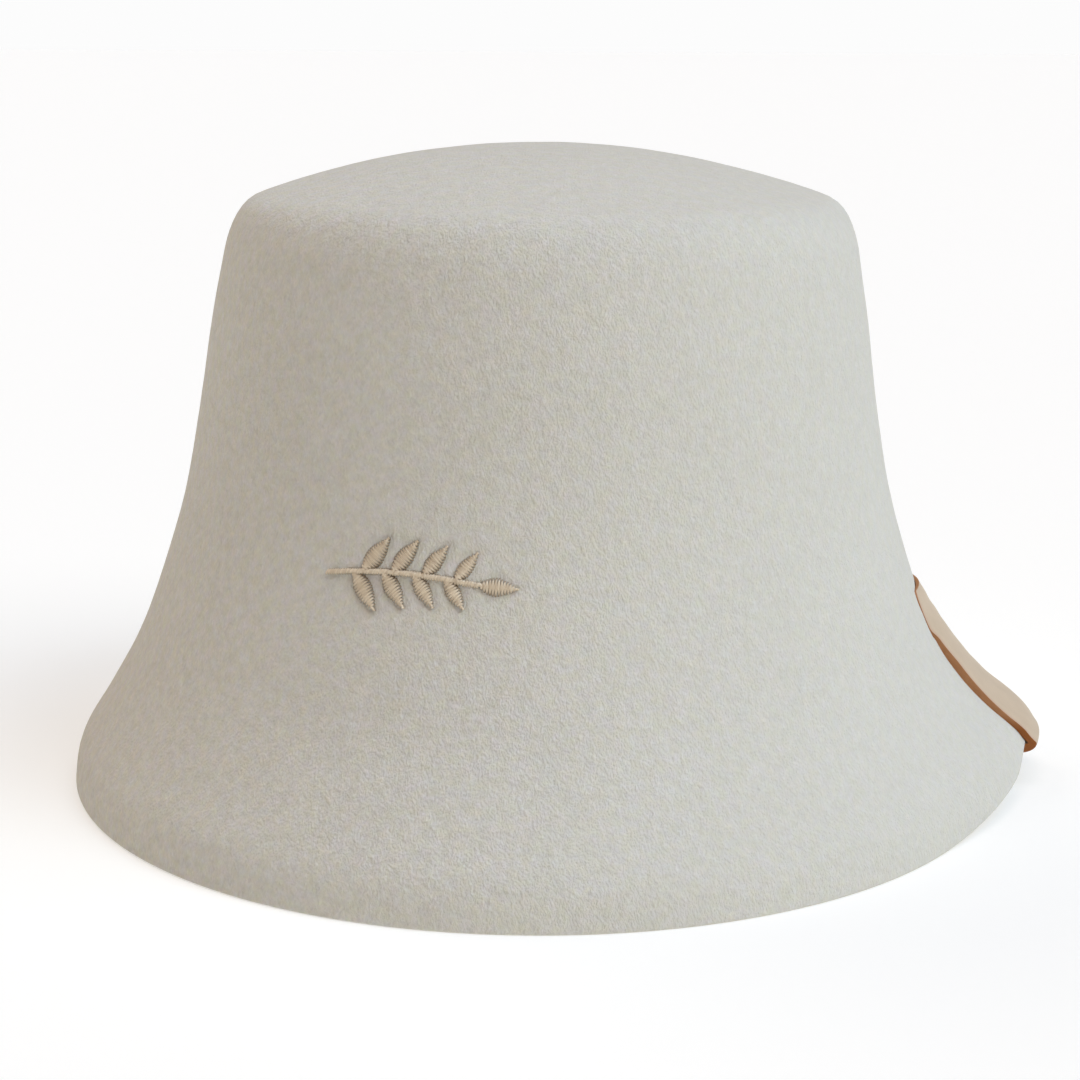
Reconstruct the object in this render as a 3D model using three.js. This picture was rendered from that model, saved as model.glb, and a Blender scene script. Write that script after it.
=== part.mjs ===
// A wool felt sauna hat: one seamless felt shell, a bucket crown that flares into a brim, with a
// leather strap folded over the edge of the brim and sewn through it to hang the hat up by.
// Millimetres, +Z up. The hat rests on its brim on the plane z = 0, with its front towards -Y.
import * as THREE from 'three';

// ---- Felt shell ----
const FELT_THICKNESS = 3;
const OVAL = 1.05; // a head is longer than it is wide, so depths along Y are this much larger
const ROUND_SEGMENTS = 72;
const BUNCHING = 0.6; // how far the round segments crowd together near the strap, from 0 to 1

// Outside half width of the felt along X, from the brim's edge up to the start of the crease.
const SECTIONS = [
  { name: 'brim edge', height: 0, halfWidth: 125 },
  { name: 'turned lip', height: 9, halfWidth: 123.5 },
  { name: 'lower brim', height: 21, halfWidth: 116.3 },
  { name: 'upper brim', height: 36, halfWidth: 107.9 },
  { name: 'brim root', height: 54.5, halfWidth: 100.8 },
  { name: 'head line', height: 75.5, halfWidth: 94.4 },
  { name: 'mid crown', height: 98.5, halfWidth: 89.8 },
  { name: 'upper crown', height: 121, halfWidth: 86.3 },
  { name: 'crease start', height: 139, halfWidth: 83 },
];
const CREASE_CORNER = { height: 151.3, halfWidth: 80.7 }; // where wall and crown top would meet
const DOME_RISE = 15.3; // the crown top is a shallow dome above the crease corner
const DOME_EDGE = 74.2; // half width at which the rounded crease runs into the dome
const CROWN_LEAN = 1.2; // the hand-shaped crown leans this far towards +X at its crease
const WALL_ROWS = 18;
const CREASE_ROWS = 5;
const DOME_ROWS = 6;

// ---- Leather strap, at the hat's left-hand side ----
const STRAP_ANGLE = THREE.MathUtils.degToRad(84); // from the front, -Y, towards +X
const STRAP_WIDTH = 23;
const LEATHER_THICKNESS = 2.5;
const SKIVED_THICKNESS = 1; // the sewn ends are pared thin
const STRAP_TOP = 52; // height of the sewn ends on the unpulled felt
const SKIVE_LENGTH = 13;
const END_ROUNDING = 5; // radius of the sewn ends' corners
const STRAP_GAP = 0.5; // clearance between leather and felt on the run inside the hat
const FOLD_GAP = 0.7; // clearance under the brim's edge
const END_ROWS = 5; // round the corners of a sewn end
const FOLD_ROWS = 8; // round the brim's edge
const STRAP_COLUMNS = 6; // across the width

// Clearance under the outer run: sewn flat at its top, it comes off the hollow of the brim's flare.
const STAND_OFFS = [
  { name: 'brim edge', height: 0, gap: 0.6 },
  { name: 'over the lip', height: 8, gap: 2.2 },
  { name: 'lower brim', height: 21, gap: 1 },
  { name: 'foot of the seam', height: 38, gap: 0.5 },
  { name: 'sewn end', height: 52, gap: 0.4 },
];

// The strap is a little short for the felt that it holds. It draws the brim's edge up and out over
// a wide arc, and pinches it higher still between its own two edges.
const PULL = { outward: 7.5, upward: 8, halfArc: THREE.MathUtils.degToRad(34), fadeHeight: 54 };
const PINCH = {
  upward: 4,
  fullArc: THREE.MathUtils.degToRad(6),
  halfArc: THREE.MathUtils.degToRad(11),
  fadeHeight: 30,
};

const FELT_COLOUR = 0xd3cfc6;
const LEATHER_COLOUR = 0xd8b49c;

/** Height of the crown top above the floor at a given half width. */
function domeHeight(halfWidth) {
  const share = halfWidth / CREASE_CORNER.halfWidth;
  return CREASE_CORNER.height + DOME_RISE * (1 - share * share);
}

/** The felt's outside in the plane of its half width (x) and height (y), from brim edge to top. */
function outsideProfile() {
  const corners = SECTIONS.map(({ height, halfWidth }) => new THREE.Vector3(halfWidth, height, 0));
  const wall = new THREE.CatmullRomCurve3(corners, false, 'centripetal');
  const crease = new THREE.QuadraticBezierCurve(
    new THREE.Vector2(corners.at(-1).x, corners.at(-1).y),
    new THREE.Vector2(CREASE_CORNER.halfWidth, CREASE_CORNER.height),
    new THREE.Vector2(DOME_EDGE, domeHeight(DOME_EDGE)),
  );
  const points = wall.getSpacedPoints(WALL_ROWS).map(({ x, y }) => new THREE.Vector2(x, y));
  points.push(...crease.getPoints(CREASE_ROWS).slice(1));
  for (let row = 1; row <= DOME_ROWS; row += 1) {
    const halfWidth = DOME_EDGE * (1 - row / DOME_ROWS);
    points.push(new THREE.Vector2(halfWidth, domeHeight(halfWidth)));
  }
  return points;
}

/** Unit normals of a profile that runs up the outside of the felt, pointing out of it. */
function outwardNormals(profile) {
  return profile.map((point, row) => {
    const before = profile[Math.max(row - 1, 0)];
    const after = profile[Math.min(row + 1, profile.length - 1)];
    const along = after.clone().sub(before).normalize();
    return new THREE.Vector2(along.y, -along.x);
  });
}

/** The same profile moved along its normals: outwards when distance is positive. */
function offsetProfile(profile, distance) {
  const normals = outwardNormals(profile);
  return profile.map((point, row) => point.clone().addScaledVector(normals[row], distance));
}

/** The felt's inside: one thickness in, flat on the floor at its edge and closed on the axis. */
function insideProfile(outside) {
  const inside = offsetProfile(outside, -FELT_THICKNESS);
  inside[0].set(outside[0].x - FELT_THICKNESS, 0);
  inside.at(-1).set(0, outside.at(-1).y - FELT_THICKNESS);
  return inside;
}

/** Share of the wide pull at a height and an angle: 1 at the strap's middle on the brim's edge. */
function pullAt(height, angle) {
  const aside = Math.min(Math.abs(angle - STRAP_ANGLE) / PULL.halfArc, 1);
  const aloft = THREE.MathUtils.clamp(height / PULL.fadeHeight, 0, 1);
  return (1 - aside ** 2) ** 2 * (1 - aloft) ** 2;
}

/** Share of the pinch under the strap itself, in the same way. */
function pinchAt(height, angle) {
  const aside = Math.abs(angle - STRAP_ANGLE);
  const aloft = THREE.MathUtils.clamp(height / PINCH.fadeHeight, 0, 1);
  return (1 - THREE.MathUtils.smoothstep(aside, PINCH.fullArc, PINCH.halfArc)) * (1 - aloft) ** 2;
}

/** The point of the hat at a half width, a height and an angle from the front towards +X. */
function onHat(halfWidth, height, angle) {
  const pull = pullAt(height, angle);
  const reach = halfWidth + PULL.outward * pull;
  const lean = CROWN_LEAN * Math.max(height / CREASE_CORNER.height, 0) ** 3;
  return new THREE.Vector3(
    reach * Math.sin(angle) + lean,
    -OVAL * reach * Math.cos(angle),
    height + PULL.upward * pull + PINCH.upward * pinchAt(height, angle),
  );
}

/** Moves an angle round the hat towards the strap, where the felt bends most. */
function bunched(angle) {
  return angle - BUNCHING * Math.sin(angle - STRAP_ANGLE);
}

/** Felt shell: its wall's section turned round the axis, then drawn oval and pulled up. */
function feltShell() {
  const outside = outsideProfile();
  const section = [...insideProfile(outside).reverse(), ...outside];
  const geometry = new THREE.LatheGeometry(section, ROUND_SEGMENTS);
  const position = geometry.getAttribute('position');
  for (let vertex = 0; vertex < position.count; vertex += 1) {
    const x = position.getX(vertex);
    const z = position.getZ(vertex);
    const place = onHat(Math.hypot(x, z), position.getY(vertex), bunched(Math.atan2(x, z)));
    position.setXYZ(vertex, place.x, place.y, place.z);
  }
  geometry.computeVertexNormals();
  return geometry;
}

/** Leather thickness at a height: full on the brim, pared down towards the sewn ends. */
function leatherThickness(height) {
  const pared = THREE.MathUtils.clamp((height - (STRAP_TOP - SKIVE_LENGTH)) / SKIVE_LENGTH, 0, 1);
  return THREE.MathUtils.lerp(LEATHER_THICKNESS, SKIVED_THICKNESS, pared);
}

/**
 * Rows of a strap run on a felt profile, each a point of the felt and the normal there. They are the
 * felt's own rows, so that the two bend alike, and closer ones round the corners of the sewn end.
 */
function runRows(profile) {
  const normals = outwardNormals(profile);
  const heights = profile.map(({ y }) => y).filter((y) => y < STRAP_TOP - END_ROUNDING);
  for (let row = 0; row <= END_ROWS; row += 1) {
    const turn = (Math.PI / 2) * (row / END_ROWS);
    heights.push(STRAP_TOP - END_ROUNDING * (1 - Math.sin(turn)));
  }
  return heights.map((height) => {
    const above = profile.findIndex(({ y }) => y > height);
    const share = (height - profile[above - 1].y) / (profile[above].y - profile[above - 1].y);
    return {
      point: profile[above - 1].clone().lerp(profile[above], share),
      normal: normals[above - 1].clone().lerp(normals[above], share).normalize(),
    };
  });
}

/** Clearance between the outer run and the felt at a height, eased from row to row. */
function standOff(height) {
  const above = Math.max(STAND_OFFS.findIndex((row) => row.height >= height), 1);
  const low = STAND_OFFS[above - 1];
  const high = STAND_OFFS[above];
  const share = THREE.MathUtils.smoothstep(height, low.height, high.height);
  return THREE.MathUtils.lerp(low.gap, high.gap, share);
}

/** One run of the strap on a felt profile, as pairs of points on the leather's two faces. */
function strapRun(profile, side, gapAt) {
  return runRows(profile).map(({ point, normal }) => {
    const gap = gapAt(point.y);
    const thickness = leatherThickness(point.y);
    return {
      near: point.clone().addScaledVector(normal, side * gap),
      far: point.clone().addScaledVector(normal, side * (gap + thickness)),
    };
  });
}

/** A point of a half oval that hangs under two points, at a share of the way from one to the other. */
function underPoint(from, to, depth, share) {
  const turn = Math.PI * share;
  const middle = from.clone().add(to).multiplyScalar(0.5);
  const radius = from.distanceTo(to) / 2;
  return new THREE.Vector2(middle.x - radius * Math.cos(turn), middle.y - depth * Math.sin(turn));
}

/** The strap's pairs of points under the brim's edge, from the inner run to the outer run. */
function foldPairs(inner, outer) {
  const pairs = [];
  for (let row = 1; row < FOLD_ROWS; row += 1) {
    const share = row / FOLD_ROWS;
    pairs.push({
      near: underPoint(inner.near, outer.near, FOLD_GAP, share),
      far: underPoint(inner.far, outer.far, FOLD_GAP + LEATHER_THICKNESS, share),
    });
  }
  return pairs;
}

/** Half of the strap's width at a height: the corners of its sewn ends are rounded. */
function strapHalfWidth(height) {
  const fromEnd = Math.max(STRAP_TOP - height, 0);
  const full = STRAP_WIDTH / 2;
  if (fromEnd >= END_ROUNDING) return full;
  const rest = END_ROUNDING - fromEnd;
  return full - END_ROUNDING + Math.sqrt(END_ROUNDING ** 2 - rest ** 2);
}

/** Leather strap: a flat strip whose every row is laid on the hat, from inside end to outside end. */
function strapLoop() {
  const outside = outsideProfile();
  const inner = strapRun(insideProfile(outside), -1, () => STRAP_GAP);
  const outer = strapRun(outside, 1, standOff);
  const pairs = [...inner.slice().reverse(), ...foldPairs(inner[0], outer[0]), ...outer];
  const last = pairs.length - 1;
  const geometry = new THREE.BoxGeometry(2, last, 2, STRAP_COLUMNS, last, 1);
  const position = geometry.getAttribute('position');
  for (let vertex = 0; vertex < position.count; vertex += 1) {
    const { near, far } = pairs[Math.round(position.getY(vertex) + last / 2)];
    const point = position.getZ(vertex) > 0 ? far : near;
    const across = position.getX(vertex) * strapHalfWidth(point.y);
    const place = onHat(point.x, point.y, STRAP_ANGLE + across / (point.x * OVAL));
    position.setXYZ(vertex, place.x, place.y, place.z);
  }
  geometry.computeVertexNormals();
  return geometry;
}

/** A named piece in its own material. */
function piece(name, geometry, colour, roughness) {
  const material = new THREE.MeshStandardMaterial({ color: colour, roughness, metalness: 0 });
  const mesh = new THREE.Mesh(geometry, material);
  mesh.name = name;
  return mesh;
}

const hat = new THREE.Group();
hat.add(piece('felt_body', feltShell(), FELT_COLOUR, 0.95));
hat.add(piece('hanging_strap', strapLoop(), LEATHER_COLOUR, 0.6));

// The origin is on the floor under the middle of the whole hat, strap included.
const middle = new THREE.Box3().setFromObject(hat).getCenter(new THREE.Vector3());
hat.position.set(-middle.x, -middle.y, 0);

export default hat;
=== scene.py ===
# %% [markdown]
# # A felt sauna hat
# A sauna hat is one thick piece of wool felt, pressed wet over a wooden block until it holds the
# shape of a bucket with a flared brim. A leather strap is folded over the brim's edge to hang the
# hat up by, and a small ornament is stitched on the front. This notebook dresses the plain solids
# of the hat with a fine felt skin, a leather strap with cut edges and raised satin stitches.

# %% Load the solids
import math
import random
from collections import namedtuple

import bmesh
import bpy
from mathutils import Matrix, Vector, noise


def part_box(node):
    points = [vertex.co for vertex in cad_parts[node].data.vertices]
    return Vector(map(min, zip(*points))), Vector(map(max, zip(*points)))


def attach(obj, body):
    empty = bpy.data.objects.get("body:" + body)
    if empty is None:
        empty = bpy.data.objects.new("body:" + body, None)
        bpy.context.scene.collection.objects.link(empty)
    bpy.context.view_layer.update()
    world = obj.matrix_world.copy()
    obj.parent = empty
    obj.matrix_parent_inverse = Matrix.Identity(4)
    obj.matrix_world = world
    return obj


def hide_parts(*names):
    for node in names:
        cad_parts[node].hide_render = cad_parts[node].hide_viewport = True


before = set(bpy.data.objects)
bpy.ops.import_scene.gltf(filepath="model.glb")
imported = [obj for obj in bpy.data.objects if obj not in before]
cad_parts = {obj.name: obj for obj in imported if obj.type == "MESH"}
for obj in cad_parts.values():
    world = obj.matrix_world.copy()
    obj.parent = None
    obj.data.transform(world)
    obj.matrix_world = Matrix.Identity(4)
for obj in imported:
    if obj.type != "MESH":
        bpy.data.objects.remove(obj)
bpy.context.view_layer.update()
felt_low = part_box("felt_body")[0]
MM = 0.001

# %% [markdown]
# ## The camera
# The hat is seen from the front, from a little above the brim, by a long lens that keeps the
# crown's sides nearly straight. The camera comes first, so that each new piece can be looked at.
# It stands close to the plane of the hat's middle and is turned down by about a seventh of a right
# angle.

# %% Place the camera
BRIM_HALF_WIDTH = 125 * MM  # the brim's edge on the side away from the strap
AXIS_X = felt_low.x + BRIM_HALF_WIDTH  # the crown's axis, where the hat was turned on its block
CAMERA_PLACE = Vector((AXIS_X + 0.8 * MM, -592.3 * MM, 192.7 * MM))
CAMERA_PITCH = math.radians(12.61)
CAMERA_ROLL = math.radians(0.26)
CAMERA_SENSOR = 36  # millimetres, as is the lens
CAMERA_LENS = 74.43


def add_camera():
    """A camera that looks along +Y, turned down by its pitch and then about its own line of sight."""
    data = bpy.data.cameras.new("camera")
    data.sensor_width = CAMERA_SENSOR
    data.lens = CAMERA_LENS
    camera = bpy.data.objects.new("camera", data)
    upright = Matrix.Rotation(math.pi / 2 - CAMERA_PITCH, 4, "X")
    rolled = Matrix.Rotation(CAMERA_ROLL, 4, "Z")
    camera.matrix_world = Matrix.Translation(CAMERA_PLACE) @ upright @ rolled
    bpy.context.scene.collection.objects.link(camera)
    bpy.context.scene.camera = camera
    return camera


camera = add_camera()
print("camera at", [round(x, 3) for x in CAMERA_PLACE], "lens", camera.data.lens)

# %% [markdown]
# ## The section of the hat
# Every piece here lies on the same wall, so its section is worked out once: the half width of the
# felt's outside at a few heights, a smooth curve through them, a rounded crease and a shallow dome.
# A list of many points would give the same line, but it would say nothing about the hat. The table
# is in millimetres, and what is built from it is in metres.

# %% Draw the felt's section
Section = namedtuple("Section", "name height half_width")
SECTIONS = (
    Section("brim edge", 0, 125),
    Section("turned lip", 9, 123.5),
    Section("lower brim", 21, 116.3),
    Section("upper brim", 36, 107.9),
    Section("brim root", 54.5, 100.8),
    Section("head line", 75.5, 94.4),
    Section("mid crown", 98.5, 89.8),
    Section("upper crown", 121, 86.3),
    Section("crease start", 139, 83),
)
CREASE_CORNER = Vector((80.7, 151.3)) * MM  # half width and height where wall and top would meet
DOME_RISE = 15.3 * MM
DOME_EDGE = 74.2 * MM
FELT_THICKNESS = 3 * MM
EDGE_ROUNDING = 0.9 * MM  # the cut edge of the felt, softened by the iron and by wear
CURVE_STEPS = 24


def clamp(value):
    """The value, kept between 0 and 1."""
    return min(max(value, 0.0), 1.0)


def smoothstep(value, low, high):
    """0 up to low, 1 from high on, and an even rise between them."""
    share = clamp((value - low) / (high - low))
    return share * share * (3 - 2 * share)


def eased(rows, height):
    """The values of a table at a height, eased from row to row.

    Each row starts with its own height, in millimetres.
    """
    upper = next((row for row in rows if row[0] * MM >= height), rows[-1])
    lower = rows[max(rows.index(upper) - 1, 0)]
    if upper is lower:
        return upper[1:]
    share = smoothstep(height, lower[0] * MM, upper[0] * MM)
    return [low + (high - low) * share for low, high in zip(lower[1:], upper[1:])]


def smooth_through(corners):
    """Points close together on a curve that runs through the corners without overshooting.

    It is a centripetal Catmull-Rom curve, made by repeated steps between points.
    """
    ends = [corners[0] * 2 - corners[1], *corners, corners[-1] * 2 - corners[-2]]
    points = []
    for a, b, c, d in zip(ends, ends[1:], ends[2:], ends[3:]):
        t1 = (b - a).length ** 0.5
        t2 = t1 + (c - b).length ** 0.5
        t3 = t2 + (d - c).length ** 0.5
        for step in range(CURVE_STEPS):
            t = t1 + (t2 - t1) * step / CURVE_STEPS
            share = (t - t1) / (t2 - t1)
            middle = b.lerp(c, share)
            early = a.lerp(b, t / t1).lerp(middle, t / t2)
            late = middle.lerp(c.lerp(d, (t - t2) / (t3 - t2)), (t - t1) / (t3 - t1))
            points.append(early.lerp(late, share))
    return [*points, corners[-1].copy()]


def rounded_corner(start, corner, end, steps):
    """Points from start to end that bend round a corner."""
    shares = [step / steps for step in range(steps + 1)]
    return [start.lerp(corner, s).lerp(corner.lerp(end, s), s) for s in shares]


def dome_height(half_width):
    """Height of the shallow dome of the top at a half width."""
    return CREASE_CORNER.y + DOME_RISE * (1 - (half_width / CREASE_CORNER.x) ** 2)


def resample(points, spacing):
    """Points evenly spaced along a line, about as far apart as spacing."""
    lengths = [0.0]
    for a, b in zip(points, points[1:]):
        lengths.append(lengths[-1] + (b - a).length)
    count = max(round(lengths[-1] / spacing), 1)
    found, row = [], 0
    for step in range(count + 1):
        at = lengths[-1] * step / count
        while row < len(points) - 2 and lengths[row + 1] < at:
            row += 1
        share = (at - lengths[row]) / (lengths[row + 1] - lengths[row])
        found.append(points[row].lerp(points[row + 1], share))
    return found


def outward_normals(line):
    """Unit normals of a line that runs up the outside of the felt, pointing out of it."""
    normals = []
    for row in range(len(line)):
        along = (line[min(row + 1, len(line) - 1)] - line[max(row - 1, 0)]).normalized()
        normals.append(Vector((along.y, -along.x)))
    return normals


def offset_line(line, distance):
    """The line moved out of the felt by a distance, or into it by a negative one."""
    return [point + normal * distance for point, normal in zip(line, outward_normals(line))]


def outside_line():
    """The felt's outside from the brim's edge to the middle of the top, as (half width, height)."""
    corners = [Vector((row.half_width, row.height)) * MM for row in SECTIONS]
    dome_start = Vector((DOME_EDGE, dome_height(DOME_EDGE)))
    crease = rounded_corner(corners[-1], CREASE_CORNER, dome_start, CURVE_STEPS)
    dome = [DOME_EDGE * (1 - step / CURVE_STEPS) for step in range(1, CURVE_STEPS + 1)]
    return smooth_through(corners) + crease[1:] + [Vector((x, dome_height(x))) for x in dome]


OUTSIDE = resample(outside_line(), 1 * MM)
INSIDE = offset_line(OUTSIDE, -FELT_THICKNESS)
INSIDE[0] = OUTSIDE[0] - Vector((FELT_THICKNESS, 0))
INSIDE[-1] = Vector((0, OUTSIDE[-1].y - FELT_THICKNESS))


def outside_at(height):
    """Half width of the felt's outside at a height on the wall."""
    row = next((i for i, point in enumerate(OUTSIDE) if point.y > height), len(OUTSIDE) - 1)
    low, high = OUTSIDE[max(row - 1, 0)], OUTSIDE[max(row, 1)]
    return low.lerp(high, clamp((height - low.y) / (high.y - low.y))).x


print("section of", len(OUTSIDE), "points from", OUTSIDE[0][:], "to", OUTSIDE[-1][:])

# %% [markdown]
# ## From a round hat to this hat
# The wall is turned round like a pot, but the real hat isn't round. A head is longer than it is
# wide, the crown leans a little to the side, and the strap draws the brim's edge up and out and
# pinches it. These are a few smooth formulas of height and angle, so that felt, strap and stitches
# can all be bent by the same function and stay together. Angles start at the front and turn
# towards the side with the strap.

# %% Bend the section to the real shape
OVAL = 1.05
CROWN_LEAN = 1.2 * MM
STRAP_ANGLE = math.radians(84)
PULL_OUTWARD = 7.5 * MM
PULL_UPWARD = 8 * MM
PULL_ARC = math.radians(34)
PULL_FADE = 54 * MM
PINCH_UPWARD = 4 * MM
PINCH_FULL_ARC = math.radians(6)
PINCH_ARC = math.radians(11)
PINCH_FADE = 30 * MM


def pull_at(height, angle):
    """Share of the wide pull of the strap: 1 at its middle on the brim's edge."""
    aside = clamp(abs(angle - STRAP_ANGLE) / PULL_ARC)
    return (1 - aside**2) ** 2 * (1 - clamp(height / PULL_FADE)) ** 2


def pinch_at(height, angle):
    """Share of the narrow pinch between the strap's two edges."""
    inside = 1 - smoothstep(abs(angle - STRAP_ANGLE), PINCH_FULL_ARC, PINCH_ARC)
    return inside * (1 - clamp(height / PINCH_FADE)) ** 2


def lean_at(height):
    """Sideways lean of the crown.

    It grows with the cube of the height, and is gone again at the middle of the top.
    """
    rising = clamp(height / CREASE_CORNER.y) ** 3
    return CROWN_LEAN * rising * (1 - smoothstep(height, CREASE_CORNER.y, OUTSIDE[-1].y))


def on_hat(half_width, height, angle):
    """The point of the hat at a half width, a height and an angle from its front."""
    pull = pull_at(height, angle)
    reach = half_width + PULL_OUTWARD * pull
    return Vector((
        AXIS_X + reach * math.sin(angle) + lean_at(height),
        -OVAL * reach * math.cos(angle),
        height + PULL_UPWARD * pull + PINCH_UPWARD * pinch_at(height, angle),
    ))


print("brim under the strap lifted", round(on_hat(BRIM_HALF_WIDTH, 0, STRAP_ANGLE).z / MM, 1), "mm")

# %% [markdown]
# ## The layout of the stitched ornament
# A sprig lies on the front of the brim, left of the middle: a bowed stem with pairs of leaves and
# one leaf at its tip. It is laid out flat first, in its own two directions across and up, because
# the felt needs it too: stitches that are drawn tight sink into thick felt, so the skin is dimpled
# under them. A leaf is only its foot, its direction, its length and its half width.

# %% Lay out the sprig
MOTIF_ANGLE = math.radians(-17)
MOTIF_HEIGHT = 72.5 * MM
STEM_START = -23 * MM
STEM_END = 15 * MM
STEM_BOW = 1.6 * MM
LEAF_LENGTH = 10.5 * MM
LEAF_HALF_WIDTH = 2.3 * MM
LEAF_FULLNESS = 0.8  # below 1 a leaf is widest before its middle
LEAF_PAIRS = 4
LEAF_SPREAD = math.radians(52)
FIRST_PAIR = 0.22  # the places of the pairs are shares of the stem
PAIR_STEP = 0.2
PAIR_STAGGER = 0.03
PAIR_SHRINK = 0.07
TIP_SIZE = 0.9
TIP_TURN = math.radians(-4)
Leaf = namedtuple("Leaf", "foot turn length half_width")


def stem_at(share):
    """Point of the stem, from its cut end at 0 to the tip leaf at 1."""
    across = STEM_START + (STEM_END - STEM_START) * share
    return Vector((across, STEM_BOW * math.sin(math.pi * share) - STEM_BOW / 2))


def sized_leaf(foot, turn, size):
    """A leaf of the full proportions, made smaller."""
    return Leaf(foot, turn, LEAF_LENGTH * size, LEAF_HALF_WIDTH * size)


def sprig_leaves():
    """The leaves in pairs along the stem, each pair a little smaller than the one before it."""
    leaves = []
    for pair in range(LEAF_PAIRS):
        share = FIRST_PAIR + PAIR_STEP * pair
        for side in (1, -1):
            foot = stem_at(share + PAIR_STAGGER * side)
            leaves.append(sized_leaf(foot, side * LEAF_SPREAD, 1 - PAIR_SHRINK * pair))
    leaves.append(sized_leaf(stem_at(1), TIP_TURN, TIP_SIZE))
    return leaves


def leaf_half_width(leaf, share):
    """Half width of a leaf at a share of its length, which is pointed at both ends."""
    return leaf.half_width * math.sin(math.pi * share**LEAF_FULLNESS)


def leaf_point(leaf, share, aside):
    """Point of a leaf at a share of its length, and aside from its middle line."""
    along = Vector((math.cos(leaf.turn), math.sin(leaf.turn)))
    across = Vector((-along.y, along.x))
    return leaf.foot + along * (leaf.length * share) + across * aside


LEAVES = sprig_leaves()
print("sprig of", len(LEAVES), "leaves")

# %% [markdown]
# ## The felt
# The hat is one seamless shell, so it is one turned mesh: the closed section of the wall, outside,
# edge and inside, is spun about the axis and then bent by on_hat. A Solidify modifier on an open
# skin would be shorter, but its edge would be sharp, and cut felt has a soft round edge. The outside
# is finer than the inside, because it carries the relief: felt that was shaped by hand is never
# quite even, and steam leaves it with a fine orange peel. Spin leaves its faces in another order on
# each run, so the shell is put in a fixed order before it is cut finer, and every run gives the same
# mesh.

# %% Turn and bend the felt shell
ROUND_STEPS = 400
OUTSIDE_SPACING = 2.2 * MM
INSIDE_SPACING = 5 * MM
CORNER_STEPS = 4
RELIEF = (  # (size of a bump, its height): wide unevenness, soft waves, orange peel
    (52 * MM, 0.30 * MM),
    (15 * MM, 0.10 * MM),
    (5.5 * MM, 0.06 * MM),
)
RELIEF_START = 3 * MM
RELIEF_FULL = 14 * MM
DIMPLE_DEPTH = 0.3 * MM
DIMPLE_REACH = 1.2 * MM
STRAP_BED = (  # height, and how deep the strap presses its bed into the felt there, in millimetres
    (3, 0), (12, 0.5), (21, 0.1), (30, 0), (38, 0), (41.5, 1.05), (49.5, 1.05), (52.5, 0),
)
BED_HALF_WIDTH = 11.7 * MM
BED_SHOULDER = 0.9 * MM
MOTIF_REACH = (30 * MM, 14 * MM)  # the finer grid: across and up from the ornament's middle
STRAP_REACH = (16 * MM, 57 * MM)  # across from the strap's middle, and up from the brim's edge
WORKED_CUTS = 2
WELD_DISTANCE = 0.001 * MM


def part_above(line, height):
    """The points of a line that lie above a height."""
    return [point for point in line if point.y > height]


def closed_section():
    """The wall's section from the axis down the inside, round the cut edge and up the outside."""
    inner = resample(part_above(INSIDE, EDGE_ROUNDING), INSIDE_SPACING)
    outer = resample(part_above(OUTSIDE, EDGE_ROUNDING), OUTSIDE_SPACING)
    sideways = Vector((EDGE_ROUNDING, 0))
    inner_corner = rounded_corner(inner[0], INSIDE[0], INSIDE[0] + sideways, CORNER_STEPS)
    outer_corner = rounded_corner(OUTSIDE[0] - sideways, OUTSIDE[0], outer[0], CORNER_STEPS)
    return inner[:0:-1] + inner_corner + outer_corner + outer[1:]


def dimple_at(across, up):
    """Depth of the felt's dimple at a point of the sprig's plane."""
    point, depth = Vector((across, up)), 0.0
    for leaf in LEAVES:
        axis = leaf_point(leaf, 1, 0) - leaf.foot
        share = clamp((point - leaf.foot).dot(axis) / axis.length_squared)
        away = (point - leaf.foot - axis * share).length - leaf_half_width(leaf, share)
        depth = max(depth, DIMPLE_DEPTH * math.exp(-((max(away, 0) / DIMPLE_REACH) ** 2)))
    return depth


def motif_plane(half_width, height, angle):
    """Across and up from the middle of the ornament."""
    return (angle - MOTIF_ANGLE) * half_width, height - MOTIF_HEIGHT


def bed_at(half_width, height, angle):
    """Depth of the strap's bed, which has the strap's width and soft shoulders."""
    aside = abs(angle - STRAP_ANGLE) * half_width * OVAL
    inside = 1 - smoothstep(aside, BED_HALF_WIDTH, BED_HALF_WIDTH + BED_SHOULDER)
    return eased(STRAP_BED, height)[0] * MM * inside


def round_place(vert):
    """Half width, height and angle of a vertex of the round shell."""
    return math.hypot(vert.co.x, vert.co.y), vert.co.z, math.atan2(vert.co.x, -vert.co.y)


def is_worked(vert):
    """True on the outside of the wall round the ornament and under the strap."""
    half_width, height, angle = round_place(vert)
    outer = outside_at(height) - half_width < FELT_THICKNESS / 2
    across, up = motif_plane(half_width, height, angle)
    by_motif = abs(across) < MOTIF_REACH[0] and abs(up) < MOTIF_REACH[1]
    aside = abs(angle - STRAP_ANGLE) * half_width
    by_strap = aside < STRAP_REACH[0] and height < STRAP_REACH[1]
    return outer and (by_motif or by_strap)


def relief_at(point, height):
    """Height of the uneven surface over the smooth one, none at all where the hat rests."""
    total = sum(depth * noise.noise(point / size) for size, depth in RELIEF)
    return total * smoothstep(height, RELIEF_START, RELIEF_FULL)


def in_fixed_order(shell):
    """The same shell, taken over face by face in the order of its vertices, which never changes."""
    shell.verts.index_update()
    faces = sorted([vert.index for vert in face.verts] for face in shell.faces)
    ordered = bmesh.new()
    verts = [ordered.verts.new(vert.co) for vert in shell.verts]
    for corners in faces:
        ordered.faces.new([verts[corner] for corner in corners])
    shell.free()
    return ordered


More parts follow.
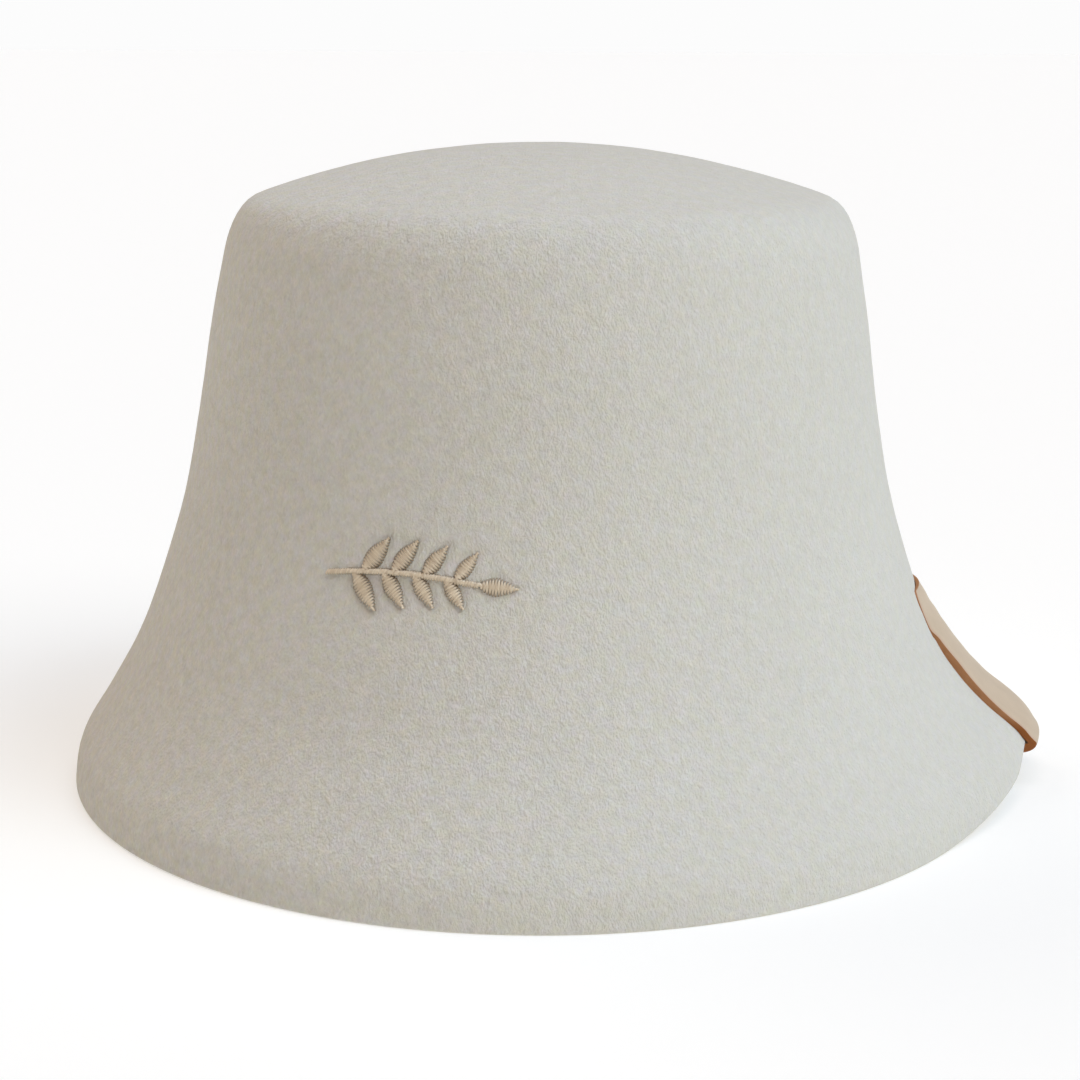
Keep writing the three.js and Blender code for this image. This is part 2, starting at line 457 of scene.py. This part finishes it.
def felt_mesh():
    """The section turned into a shell, cut finer where it is worked, pressed, bent and made uneven."""
    shell = bmesh.new()
    section = [shell.verts.new((point.x, 0, point.y)) for point in closed_section()]
    edges = [shell.edges.new(pair) for pair in zip(section, section[1:])]
    bmesh.ops.spin(
        shell, geom=section + edges, cent=(0, 0, 0), axis=(0, 0, 1),
        angle=math.tau, steps=ROUND_STEPS, use_merge=True,
    )
    shell = in_fixed_order(shell)
    bmesh.ops.remove_doubles(shell, verts=shell.verts, dist=WELD_DISTANCE)
    fine = {vert for vert in shell.verts if is_worked(vert)}
    edges = [edge for edge in shell.edges if fine.issuperset(edge.verts)]
    bmesh.ops.subdivide_edges(shell, edges=edges, cuts=WORKED_CUTS, use_grid_fill=True)
    for vert in shell.verts:
        half_width, height, angle = round_place(vert)
        if is_worked(vert):
            half_width -= dimple_at(*motif_plane(half_width, height, angle))
            half_width -= bed_at(half_width, height, angle)
        vert.co = on_hat(half_width, height, angle)
    bmesh.ops.recalc_face_normals(shell, faces=shell.faces)
    shell.normal_update()
    for vert in shell.verts:
        vert.co += vert.normal * relief_at(vert.co, vert.co.z)
    return shell


def finished(name, shape, materials=()):
    """A smooth shaded object from a bmesh, at the origin."""
    mesh = bpy.data.meshes.new(name)
    shape.to_mesh(mesh)
    shape.free()
    mesh.shade_smooth()
    for material in materials:
        mesh.materials.append(material)
    made = bpy.data.objects.new(name, mesh)
    bpy.context.scene.collection.objects.link(made)
    print(name, "has", sum(len(face.vertices) - 2 for face in mesh.polygons), "triangles")
    return made


felt = finished("felt_shell", felt_mesh())

# %% [markdown]
# ## The leather strap
# A strip of vegetable-tanned leather, grain side out, runs up the inside of the brim, round its edge
# and up the outside, where it is pared thin and sewn flat. A flat grid is laid along that path row
# by row, and one extrusion gives it its thickness, which keeps three faces apart: the flesh side
# against the felt, the grain side, and the cut edges all round, each with a finish of its own.
# Stiff leather arches over a curved wall and presses its front edge and its sewn end into the soft
# felt, so a short table says how far it stands off, and a bed of the same shape is in the felt.

# %% Fold the strap over the brim
STRAP_HALF_WIDTH = 11.5 * MM
STRAP_TOP = 52 * MM
LEATHER_THICKNESS = 2.3 * MM
SKIVED_THICKNESS = 1 * MM
SKIVE_FOOT = 29 * MM  # the leather is pared thinner from here up
SKIVE_HEAD = 42 * MM
END_ROUNDING = 3.5 * MM
STRAP_GAP = 0.5 * MM
FOLD_STEPS = 24
STRAP_COLUMNS = 24
STRAP_ROWS = 150
LEATHER_BEVEL = 0.35 * MM
STRAP_LIE = (  # in millimetres: height, and gaps at the strap's front edge, middle and back edge
    (0, 0.6, 1.8, 2.4),
    (5, 0.1, 1.9, 2.6),
    (12, -0.65, 1.4, 2.3),
    (21, -0.2, 1.3, 1.7),
    (31, -0.1, 1.6, 1.0),
    (38, -0.1, 2.1, 0.5),
    (41.5, -0.95, 1.9, -0.4),
    (47, -0.95, 0.9, -0.6),
    (52, -0.95, 0.0, -0.8),
)
FOLD_GAPS = (0.4, 1.0, 1.7)  # the same for the fold under the brim's edge
FLESH, GRAIN, CUT = range(3)


def arched(gaps, across):
    """Clearance across the strap, from -1 at its front edge to 1 at its back edge."""
    front, middle, back = gaps
    return (middle + (back - front) / 2 * across + ((front + back) / 2 - middle) * across**2) * MM


def leather_thickness(height):
    """Thickness of the leather at a height, which is less where it is pared."""
    pared = smoothstep(height, SKIVE_FOOT, SKIVE_HEAD)
    return LEATHER_THICKNESS + (SKIVED_THICKNESS - LEATHER_THICKNESS) * pared


def strap_run(line, side, gap_at):
    """Pairs of points, on the flesh side and on the grain side, up one run of the strap."""
    pairs = []
    for point, normal in zip(line, outward_normals(line)):
        if point.y <= STRAP_TOP:
            gap = gap_at(point.y)
            depth = gap + leather_thickness(point.y)
            pairs.append((point + normal * side * gap, point + normal * side * depth))
    return pairs


def hanging_point(start, end, depth, share):
    """Point of a half oval that hangs between two points."""
    middle, radius = (start + end) / 2, (end - start).length / 2
    turn = math.pi * share
    return Vector((middle.x - radius * math.cos(turn), middle.y - depth * math.sin(turn)))


def strap_path(across):
    """The pairs of points from the end inside the hat, round the brim's edge, to the end outside."""
    inner = strap_run(INSIDE, -1, lambda height: STRAP_GAP)
    outer = strap_run(OUTSIDE, 1, lambda height: arched(eased(STRAP_LIE, height), across))
    hang = arched(FOLD_GAPS, across)
    fold = []
    for step in range(1, FOLD_STEPS):
        share = step / FOLD_STEPS
        fold.append((
            hanging_point(inner[0][0], outer[0][0], hang, share),
            hanging_point(inner[0][1], outer[0][1], hang + LEATHER_THICKNESS, share),
        ))
    return inner[::-1] + fold + outer


def strap_half_width(height):
    """Half of the strap's width at a height, less round the corners of a sewn end."""
    from_end = max(STRAP_TOP - height, 0)
    if from_end >= END_ROUNDING:
        return STRAP_HALF_WIDTH
    rest = END_ROUNDING - from_end
    return STRAP_HALF_WIDTH - END_ROUNDING + math.sqrt(END_ROUNDING**2 - rest**2)


def strap_mesh():
    """A flat grid, extruded once for its thickness, laid along its path and bevelled at its rims."""
    strip = bmesh.new()
    bmesh.ops.create_grid(strip, x_segments=STRAP_COLUMNS, y_segments=STRAP_ROWS, size=1)
    uv = strip.loops.layers.uv.new("strip")
    for face in strip.faces:
        for loop in face.loops:
            loop[uv].uv = loop.vert.co.xy
        face.material_index = FLESH
    raised = bmesh.ops.extrude_face_region(strip, geom=strip.faces[:])["geom"]
    grain_verts = {item for item in raised if isinstance(item, bmesh.types.BMVert)}
    grain_faces = {item for item in raised if isinstance(item, bmesh.types.BMFace)}
    for face in strip.faces:
        if face in grain_faces:
            face.material_index = GRAIN
        elif grain_verts.intersection(face.verts):
            face.material_index = CUT
    columns = {column: strap_path(column) for column in {vert.co.x for vert in strip.verts}}
    for vert in strip.verts:
        path = columns[vert.co.x]
        place = (vert.co.y + 1) / 2 * (len(path) - 1)
        row = min(int(place), len(path) - 2)
        side = 1 if vert in grain_verts else 0
        point = path[row][side].lerp(path[row + 1][side], place - row)
        across = vert.co.x * strap_half_width(point.y)
        vert.co = on_hat(point.x, point.y, STRAP_ANGLE + across / (point.x * OVAL))
    bmesh.ops.recalc_face_normals(strip, faces=strip.faces)
    rims = [edge for edge in strip.edges if len({face.material_index for face in edge.link_faces}) > 1]
    bmesh.ops.bevel(
        strip, geom=rims, offset=LEATHER_BEVEL, segments=2, profile=0.5,
        affect="EDGES", material=-1, clamp_overlap=True,
    )
    return strip


strap = finished("leather_strap", strap_mesh())

# %% [markdown]
# ## The stitches
# Satin stitch lays one thread beside the next across a shape, to and fro from hole to hole, so that
# each lies in a low arch with both ends drawn down into the felt. One short length is made from a
# cylinder with a few cross cuts, and every stitch is a copy of it bent along its own arch. The
# threads must be real shapes, because their sheen changes from one to the next as the light turns.

# %% Make one thread and stitch the sprig with it
THREAD_RADIUS = 0.21 * MM
STITCH_PITCH = 0.66 * MM  # from hole to hole along one side; a thread goes over and one comes back
STITCH_ARCH = 0.4 * MM
LEAST_ARCH = 0.9  # shares of the arch, which differs from thread to thread
ARCH_SPREAD = 0.2
STITCH_DEPTH = 0.5 * MM  # how far the ends go below the felt's smooth surface
STITCH_UNEVEN = 0.12 * MM
HOLE_STAGGER = 0.25  # pitches by which the holes of the two sides lie before and behind the middle
THREAD_SIDES = 6
THREAD_CUTS = 6
THREAD_END_POWER = 4  # how late along a thread the painted shade at its end begins
STEM_HALF_WIDTH = 0.8 * MM
STEM_SLANT = 0.4 * MM
LEAF_TIP_HALF_WIDTH = 0.35 * MM
chance = random.Random(7)


def thread_template():
    """A straight thread along X from -1 to 1, of radius 1, with cross cuts to bend at."""
    thread = bmesh.new()
    lying = Matrix.Rotation(math.pi / 2, 4, "Y")
    bmesh.ops.create_cone(
        thread, cap_ends=True, segments=THREAD_SIDES, radius1=1, radius2=1, depth=2, matrix=lying
    )
    for cut in range(1, THREAD_CUTS):
        place = Vector((2 * cut / THREAD_CUTS - 1, 0, 0))
        bmesh.ops.bisect_plane(
            thread, geom=thread.verts[:] + thread.edges[:] + thread.faces[:],
            plane_co=place, plane_no=(1, 0, 0),
        )
    mesh = bpy.data.meshes.new("thread_template")
    thread.to_mesh(mesh)
    thread.free()
    return mesh


def wall_point(across, up):
    """Point of the smooth felt face at a place of the ornament's plane."""
    height = MOTIF_HEIGHT + up
    half_width = outside_at(height)
    return on_hat(half_width, height, MOTIF_ANGLE + across / half_width)


def wall_frame(place):
    """Point, normal and the two directions of the felt face at a place of the ornament's plane."""
    step = 0.5 * MM
    point = wall_point(*place)
    right = (wall_point(place.x + step, place.y) - point).normalized()
    upward = (wall_point(place.x, place.y + step) - point).normalized()
    return point, right.cross(upward).normalized(), right, upward


def add_stitch(work, template, start, end, layers):
    """Adds one thread that arches from start to end, two places of the ornament's plane."""
    end_layer, tone_layer = layers
    before = len(work.verts)
    work.from_mesh(template)
    work.verts.ensure_lookup_table()
    across = (end - start).normalized()
    beside = Vector((-across.y, across.x))
    arch = STITCH_ARCH * (LEAST_ARCH + ARCH_SPREAD * chance.random())
    tone = chance.random()
    for vert in work.verts[before:]:
        share = (vert.co.x + 1) / 2
        lift = (arch + STITCH_DEPTH) * math.sqrt(clamp(math.sin(math.pi * share))) - STITCH_DEPTH
        place = start.lerp(end, share) + beside * (vert.co.y * THREAD_RADIUS)
        point, normal, right, upward = wall_frame(place)
        vert.co = point + normal * (lift + vert.co.z * THREAD_RADIUS)
        vert[end_layer] = abs(2 * share - 1) ** THREAD_END_POWER
        vert[tone_layer] = tone


def uneven():
    """A small random way by which a hole lies off its line."""
    return STITCH_UNEVEN * (chance.random() - 0.5)


def sew(work, template, holes, layers):
    """Joins the holes one after the other with threads."""
    for start, end in zip(holes, holes[1:]):
        add_stitch(work, template, start, end, layers)


def leaf_holes(leaf):
    """Holes to and fro across a leaf, from its foot to its tip."""
    count = round(leaf.length / STITCH_PITCH)
    holes = []
    for number in range(count):
        for side in (-1, 1):
            share = (number + 0.5 + HOLE_STAGGER * side) / count
            half = max(leaf_half_width(leaf, share), LEAF_TIP_HALF_WIDTH)
            holes.append(leaf_point(leaf, share, side * half + uneven()))
    return holes


def stem_holes():
    """Holes to and fro across the stem, set a little slanting."""
    count = round((STEM_END - STEM_START) / STITCH_PITCH)
    reach = Vector((STEM_SLANT, STEM_HALF_WIDTH))
    holes = []
    for number in range(count + 1):
        for side in (-1, 1):
            middle = stem_at(min((number + HOLE_STAGGER + HOLE_STAGGER * side) / count, 1))
            holes.append(middle + side * reach + Vector((0, uneven())))
    return holes


def sprig_mesh():
    """All the threads of the stem and the leaves, with their ends and tones as attributes."""
    work = bmesh.new()
    layers = (work.verts.layers.float.new("thread_end"), work.verts.layers.float.new("thread_tone"))
    template = thread_template()
    sew(work, template, stem_holes(), layers)
    for leaf in LEAVES:
        sew(work, template, leaf_holes(leaf), layers)
    bpy.data.meshes.remove(template)
    bmesh.ops.recalc_face_normals(work, faces=work.faces)
    return work


sprig = finished("stitched_sprig", sprig_mesh())

# %% [markdown]
# ## Finishes
# Felt, leather and thread are all fibres, at different scales. Two shared effects make them: fibres,
# a noise that is drawn out along one direction and read at several turns, and mottle, the soft
# uneven tone of an undyed natural material. Both are node groups, built once and placed in each
# material with their own numbers. They read the object's own coordinates, in metres.

# %% Build the shared effects


def add_node(tree, kind, inputs=None, **settings):
    """A node with its settings, its plain values and its links."""
    made = tree.nodes.new(kind)
    for name, value in settings.items():
        setattr(made, name, value)
    for socket, value in (inputs or {}).items():
        if isinstance(value, bpy.types.NodeSocket):
            tree.links.new(value, made.inputs[socket])
        else:
            made.inputs[socket].default_value = value
    return made


def new_group(name, inputs, outputs):
    """An empty shader node group, and its input and output nodes."""
    group = bpy.data.node_groups.new(name, "ShaderNodeTree")
    for title, kind in inputs:
        group.interface.new_socket(title, in_out="INPUT", socket_type=kind)
    for title, kind in outputs:
        group.interface.new_socket(title, in_out="OUTPUT", socket_type=kind)
    return group, group.nodes.new("NodeGroupInput"), group.nodes.new("NodeGroupOutput")


def fibres_group():
    """Height of fibres that lie along one turned direction."""
    group, given, result = new_group(
        "fibres",
        [("Vector", "NodeSocketVector"), ("Turn", "NodeSocketVector"), ("Stretch", "NodeSocketVector")],
        [("Height", "NodeSocketFloat")],
    )
    turned = add_node(
        group, "ShaderNodeMapping",
        {"Vector": given.outputs["Vector"], "Rotation": given.outputs["Turn"]},
    )
    drawn = add_node(
        group, "ShaderNodeVectorMath",
        {0: turned.outputs["Vector"], 1: given.outputs["Stretch"]}, operation="MULTIPLY",
    )
    grain = add_node(
        group, "ShaderNodeTexNoise",
        {"Vector": drawn.outputs["Vector"], "Scale": 1.0, "Detail": 2.5, "Distortion": 0.25},
    )
    group.links.new(grain.outputs["Fac"], result.inputs["Height"])
    return group


def mottle_group():
    """A soft uneven tone from 0 to 1, about as wide as Size."""
    group, given, result = new_group(
        "mottle",
        [("Vector", "NodeSocketVector"), ("Size", "NodeSocketFloat"), ("Contrast", "NodeSocketFloat")],
        [("Tone", "NodeSocketFloat")],
    )
    scale = add_node(group, "ShaderNodeMath", {0: 1.0, 1: given.outputs["Size"]}, operation="DIVIDE")
    cloud = add_node(
        group, "ShaderNodeTexNoise",
        {"Vector": given.outputs["Vector"], "Scale": scale.outputs[0], "Detail": 3.0, "Roughness": 0.6},
    )
    centred = add_node(group, "ShaderNodeMath", {0: cloud.outputs["Fac"], 1: 0.5}, operation="SUBTRACT")
    spread = add_node(
        group, "ShaderNodeMath",
        {0: centred.outputs[0], 1: given.outputs["Contrast"], 2: 0.5},
        operation="MULTIPLY_ADD", use_clamp=True,
    )
    group.links.new(spread.outputs[0], result.inputs["Tone"])
    return group


FIBRES = fibres_group()
MOTTLE = mottle_group()
print("shared effects", FIBRES.name, MOTTLE.name)

# %% [markdown]
# ## Felt
# Pressed wool is matt, with a faint sheen from the fibre ends. Close up it is a tangle of short
# fibres that lie mostly down the wall, and its natural white wanders from cream to white and a
# little towards rose. Three turns of the same fibres are laid over each other for bump, and for
# painted shade: the colour goes from lit wool to shaded wool where the fibres lie deep. The painted
# shade is evened out towards the strap's side, where the key light falls. The helpers that every
# material uses stand here first. Each adds a node with its values and links in one call, so that a
# finish reads from top to bottom like a recipe.

# %% Mix the felt
MIX_FIRST, MIX_SECOND, MIX_RESULT = 6, 7, 2  # the sockets of a Mix node that mixes colours


def new_material(name, **shader):
    """A material, its node tree and its Principled shader with the plain values set on it."""
    material = bpy.data.materials.new(name)
    material.use_nodes = True
    tree = material.node_tree
    surface = tree.nodes["Principled BSDF"]
    for socket, value in shader.items():
        surface.inputs[socket.replace("_", " ")].default_value = value
    return material, tree, surface


def add_effect(tree, group, **inputs):
    """Places a shared effect in a material, and gives its result."""
    return add_node(tree, "ShaderNodeGroup", inputs, node_tree=group).outputs[0]


def mix_colours(tree, share, first, second):
    """The colour at a share of the way from the first to the second."""
    inputs = {"Factor": share, MIX_FIRST: first, MIX_SECOND: second}
    return add_node(tree, "ShaderNodeMix", inputs, data_type="RGBA").outputs[MIX_RESULT]


def ramp(tree, value, low, high, top=1.0, **settings):
    """A value that rises from 0 at low to top at high."""
    inputs = {"Value": value, "From Min": low, "From Max": high, "To Max": top}
    return add_node(tree, "ShaderNodeMapRange", inputs, **settings).outputs[0]


def weigh(tree, terms, total=0.0):
    """The sum of sockets, each times its weight, added to a total."""
    for socket, weight in terms:
        inputs = {0: socket, 1: weight, 2: total}
        total = add_node(tree, "ShaderNodeMath", inputs, operation="MULTIPLY_ADD").outputs[0]
    return total


def add_bump(tree, surface, height, strength, distance):
    """Roughens a surface by a height between 0 and 1, which stands for a distance in metres."""
    inputs = {"Height": height, "Strength": strength, "Distance": distance}
    bump = add_node(tree, "ShaderNodeBump", inputs)
    tree.links.new(bump.outputs["Normal"], surface.inputs["Normal"])


def object_coordinates(tree):
    """The place of a point in its object, in metres."""
    return add_node(tree, "ShaderNodeTexCoord").outputs["Object"]


Fibre = namedtuple("Fibre", "turn stretch tone relief")
FELT_FIBRES = (  # turned in radians, repeats per metre, weight in the painted shade and in the relief
    Fibre((0, 0.3, 0.1), (1700, 1700, 650), 0.46, 0.8),
    Fibre((0.15, -0.45, 0), (2200, 2200, 900), 0.38, 0.7),
    Fibre((0.6, 0.15, 0.5), (3000, 3000, 1600), 0.22, 0.6),
)
PEEL_TONE = 0.34
PEEL_RELIEF = 0.65
TONE_START = -0.22
WHITE_WOOL = ((0.843, 0.869, 0.834, 1), (0.906, 0.85, 0.847, 1))  # plain and rose
CREAM_WOOL = ((0.843, 0.869, 0.698, 1), (0.906, 0.85, 0.711, 1))
SHADED_WOOL = ((0.52, 0.509, 0.475, 1), (0.52, 0.509, 0.4, 1))  # painted shade of the white and of the cream wool
# Painted shade, deeper still, in wide clouds
DEEP_SHADED_WOOL = (0.463, 0.443, 0.381, 1)
# The wool's mean tone, which evens out the painted shade on the lit side
LIT_SIDE_WOOL = (0.697, 0.686, 0.605, 1)
LIT_SIDE_FROM = -90 * MM  # along x, towards the strap's side, where the key light falls; the painted shade is evened out there
LIT_SIDE_TO = 90 * MM
LIT_SIDE_MOST = 0.55


def felt_material():
    """Wool whose tone wanders between whites, with painted shade where its fibres lie deep."""
    material, tree, surface = new_material(
        "pressed_felt", Roughness=0.95, Specular_IOR_Level=0.25, Sheen_Weight=0.12, Sheen_Roughness=0.6
    )
    place = object_coordinates(tree)
    fibres = [
        add_effect(tree, FIBRES, Vector=place, Turn=fibre.turn, Stretch=fibre.stretch)
        for fibre in FELT_FIBRES
    ]
    peel = add_effect(tree, MOTTLE, Vector=place, Size=2.6 * MM, Contrast=1.6)
    tint = add_effect(tree, MOTTLE, Vector=place, Size=2.4 * MM, Contrast=3.2)
    cloud = add_effect(tree, MOTTLE, Vector=place, Size=45 * MM, Contrast=1.8)
    blush = add_effect(tree, MOTTLE, Vector=place, Size=3.1 * MM, Contrast=3.0)
    tones = [(socket, fibre.tone) for socket, fibre in zip(fibres, FELT_FIBRES)]
    # The share of lit wool over painted shade, low where the fibres lie deep
    lit_share = weigh(tree, [*tones, (peel, PEEL_TONE)], TONE_START)
    white = mix_colours(tree, blush, *WHITE_WOOL)
    cream = mix_colours(tree, blush, *CREAM_WOOL)
    light = mix_colours(tree, tint, white, cream)
    shade = mix_colours(tree, tint, *SHADED_WOOL)
    # Painted shade where the fibres lie deep, deeper in wide clouds
    deep_shade = mix_colours(tree, cloud, DEEP_SHADED_WOOL, shade)
    wool_with_shade = mix_colours(tree, lit_share, deep_shade, light)
    side = add_node(tree, "ShaderNodeSeparateXYZ", {0: place}).outputs["X"]
    # The painted fibre shade is evened out towards the strap's side, where the key light falls
    lit_side_share = ramp(tree, side, LIT_SIDE_FROM, LIT_SIDE_TO, LIT_SIDE_MOST)
    colour = mix_colours(tree, lit_side_share, wool_with_shade, LIT_SIDE_WOOL)
    tree.links.new(colour, surface.inputs["Base Color"])
    reliefs = [(socket, fibre.relief) for socket, fibre in zip(fibres, FELT_FIBRES)]
    height = weigh(tree, [*reliefs, (peel, PEEL_RELIEF)])
    add_bump(tree, surface, height, strength=0.5, distance=0.9 * MM)
    return material


felt.data.materials.append(felt_material())
print("felt is", felt.data.materials[0].name)

# %% [markdown]
# ## Leather
# Undyed leather is pale on its grain side, with fine pores and a faint gloss where hands polish it.
# Its cut edge shows the brown fibre inside, with painted shade round the fold, and the flesh side is
# a dull nap. The strip's own UV map says how near a point is to the strap's edge, where the grain is
# rubbed darker.

# %% Mix the leather
GRAIN_LEATHER = ((0.562, 0.452, 0.322, 1), (0.643, 0.52, 0.375, 1))
RUBBED_LEATHER = (0.577, 0.404, 0.285, 1)
RUB_START = 0.88  # share of the way from the strap's middle to its edge
CUT_LEATHER = ((0.34, 0.14, 0.048, 1), (0.49, 0.245, 0.11, 1))
# Painted shade of the cut edge round the fold
FOLD_SHADE_LEATHER = (0.285, 0.09, 0.014, 1)
FOLD_TOP = (15 * MM, 19 * MM)  # the heights where the painted shade on the fold's cut edge thins out and ends
FLESH_LEATHER = ((0.371, 0.237, 0.152, 1), (0.536, 0.374, 0.257, 1))
PORES_PER_METRE = 1300


def leather_grain():
    """The pale side that shows, clouded, with pores, and rubbed darker along its edges."""
    material, tree, surface = new_material("strap_grain", Roughness=0.55, Specular_IOR_Level=0.4)
    place = object_coordinates(tree)
    strip = add_node(tree, "ShaderNodeUVMap", uv_map="strip").outputs["UV"]
    across = add_node(tree, "ShaderNodeSeparateXYZ", {0: strip}).outputs["X"]
    from_middle = add_node(tree, "ShaderNodeMath", {0: across}, operation="ABSOLUTE").outputs[0]
    rubbed = ramp(tree, from_middle, RUB_START, 1.0)
    cloud = add_effect(tree, MOTTLE, Vector=place, Size=9 * MM, Contrast=1.5)
    cells = {"Vector": place, "Scale": PORES_PER_METRE}
    pores = add_node(tree, "ShaderNodeTexVoronoi", cells, feature="F1").outputs["Distance"]
    base = mix_colours(tree, cloud, *GRAIN_LEATHER)
    colour = mix_colours(tree, rubbed, base, RUBBED_LEATHER)
    tree.links.new(colour, surface.inputs["Base Color"])
    height = weigh(tree, [(pores, 0.6), (cloud, 0.4)])
    add_bump(tree, surface, height, strength=0.3, distance=0.3 * MM)
    return material


def leather_cut():
    """The brown fibre of a cut edge, with painted shade below the top of the fold."""
    material, tree, surface = new_material("strap_cut_edge", Roughness=0.6, Specular_IOR_Level=0.35)
    place = object_coordinates(tree)
    fibres = add_effect(tree, FIBRES, Vector=place, Turn=(0, 0.8, 0), Stretch=(2500, 700, 700))
    cloud = add_effect(tree, MOTTLE, Vector=place, Size=6 * MM, Contrast=1.6)
    height = add_node(tree, "ShaderNodeSeparateXYZ", {0: place}).outputs["Z"]
    above_fold = ramp(tree, height, *FOLD_TOP)
    dyed = mix_colours(tree, weigh(tree, [(fibres, 0.6), (cloud, 0.4)]), *CUT_LEATHER)
    # Painted shade on the cut edge below the top of the fold
    colour = mix_colours(tree, above_fold, FOLD_SHADE_LEATHER, dyed)
    tree.links.new(colour, surface.inputs["Base Color"])
    add_bump(tree, surface, fibres, strength=0.4, distance=0.3 * MM)
    return material


def leather_flesh():
    """The dull nap of the side that lies against the felt."""
    material, tree, surface = new_material("strap_flesh_side", Roughness=0.9, Specular_IOR_Level=0.2)
    place = object_coordinates(tree)
    nap = add_effect(tree, FIBRES, Vector=place, Turn=(0.4, 0.2, 0), Stretch=(1200, 1200, 600))
    colour = mix_colours(tree, nap, *FLESH_LEATHER)
    tree.links.new(colour, surface.inputs["Base Color"])
    add_bump(tree, surface, nap, strength=0.5, distance=0.4 * MM)
    return material


for material in (leather_flesh(), leather_grain(), leather_cut()):
    strap.data.materials.append(material)
print("strap finishes", [material.name for material in strap.data.materials])

# %% [markdown]
# ## Thread
# Embroidery thread is two strands of shiny filament, twisted. Each stitch differs a little in tone
# from the next, and is painted with shade where it goes down into its hole, so both are kept on the
# mesh as attributes when the stitches are made.

# %% Mix the thread
TAN_THREAD = ((0.659, 0.54, 0.38, 1), (0.824, 0.712, 0.532, 1))
# Painted shade where a thread goes down into its hole
THREAD_SHADE_IN_HOLE = (0.206, 0.146, 0.085, 1)


def thread_material():
    """Filament with a tone for each stitch, and painted shade where it goes down into its hole."""
    material, tree, surface = new_material(
        "satin_thread", Roughness=0.32, Specular_IOR_Level=0.7, Sheen_Weight=0.2, Sheen_Roughness=0.3
    )
    end = add_node(tree, "ShaderNodeAttribute", attribute_name="thread_end").outputs["Fac"]
    tone = add_node(tree, "ShaderNodeAttribute", attribute_name="thread_tone").outputs["Fac"]
    place = object_coordinates(tree)
    twist = add_effect(tree, FIBRES, Vector=place, Turn=(0.5, 0.9, 0.2), Stretch=(5000, 5000, 1800))
    fresh = mix_colours(tree, tone, *TAN_THREAD)
    # Painted shade at the thread's ends, where it goes into the felt
    colour = mix_colours(tree, end, fresh, THREAD_SHADE_IN_HOLE)
    tree.links.new(colour, surface.inputs["Base Color"])
    add_bump(tree, surface, twist, strength=0.4, distance=0.1 * MM)
    return material


sprig.data.materials.append(thread_material())
print("sprig is", sprig.data.materials[0].name)

# %% [markdown]
# ## Floor and light
# The hat rests on a wide pale floor, lit from below a little like a light table, so that the felt's
# lower edge isn't lost in shade. Soft distant lights fill the studio: the key light in front on the
# strap's side, the cool sky of a window beyond it, a warm one overhead and a weak one behind. Distant
# lights, unlike near lamps, leave the floor evenly bright out to a horizon, which the haze hides.

# %% Build the floor and the lights
FLOOR_RADIUS = 40
FLOOR_SIDES = 96
FLOOR_GLOW = 0.45
PAPER = (0.583, 0.58, 0.548, 1)
LIGHT_SOFTNESS = math.radians(34)  # as wide as a large diffuser close by
HAZE = (0.975, 0.975, 0.975, 1)
HIGH_AIR = (0.111, 0.039, 0.0, 1)
HAZE_TOP = (0.06, 0.14)  # where the haze thins out and ends: sines of the angle above the horizon
Light = namedtuple("Light", "name around up strength tint")
LIGHTS = (  # around from the front towards the strap's side and up from the floor, in degrees
    Light("key", 60, 45, 1.355, (0.933, 0.971, 1.0)),
    Light("window", 85, 60, 1.0, (0.311, 0.632, 1.0)),
    Light("overhead", 0, 88, 0.866, (1.0, 0.915, 0.908)),
    Light("behind", -135, 45, 0.625, (1.0, 0.948, 0.818)),
)


def add_floor():
    """A wide disc of pale paper that glows a little."""
    disc = bmesh.new()
    bmesh.ops.create_circle(disc, cap_ends=True, radius=FLOOR_RADIUS, segments=FLOOR_SIDES)
    paper = new_material(
        "studio_paper", Base_Color=PAPER, Roughness=0.9,
        Emission_Color=(1, 1, 1, 1), Emission_Strength=FLOOR_GLOW,
    )[0]
    return finished("studio_floor", disc, [paper])


def add_light(light):
    """A distant light that shines from its direction down onto the hat."""
    data = bpy.data.lights.new(light.name, "SUN")
    data.angle = LIGHT_SOFTNESS
    data.energy = light.strength
    data.color = light.tint
    around, up = math.radians(light.around), math.radians(light.up)
    towards = Vector((math.sin(around) * math.cos(up), -math.cos(around) * math.cos(up), math.sin(up)))
    made = bpy.data.objects.new(light.name, data)
    made.rotation_euler = (-towards).to_track_quat("-Z", "Y").to_euler()
    bpy.context.scene.collection.objects.link(made)


def add_world():
    """Pale haze along the horizon, and darker high up where nothing shines but the lights."""
    world = bpy.data.worlds.new("studio")
    world.use_nodes = True
    tree = world.node_tree
    direction = add_node(tree, "ShaderNodeTexCoord").outputs["Generated"]
    up = add_node(tree, "ShaderNodeSeparateXYZ", {0: direction}).outputs["Z"]
    high = ramp(tree, up, *HAZE_TOP, interpolation_type="SMOOTHSTEP")
    sky = mix_colours(tree, high, HAZE, HIGH_AIR)
    tree.links.new(sky, tree.nodes["Background"].inputs["Color"])
    bpy.context.scene.world = world


add_floor()
for light in LIGHTS:
    add_light(light)
add_world()
bpy.context.scene.view_settings.view_transform = "Standard"
print("lights", [light.name for light in LIGHTS])

# %% [markdown]
# ## Join the looks to the solids
# Each new piece rides on the hat's one body and stands for the plain solid it covers.

# %% Hand over the pieces
for piece in (felt, strap, sprig):
    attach(piece, "root")
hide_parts("felt_body")
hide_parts("hanging_strap")
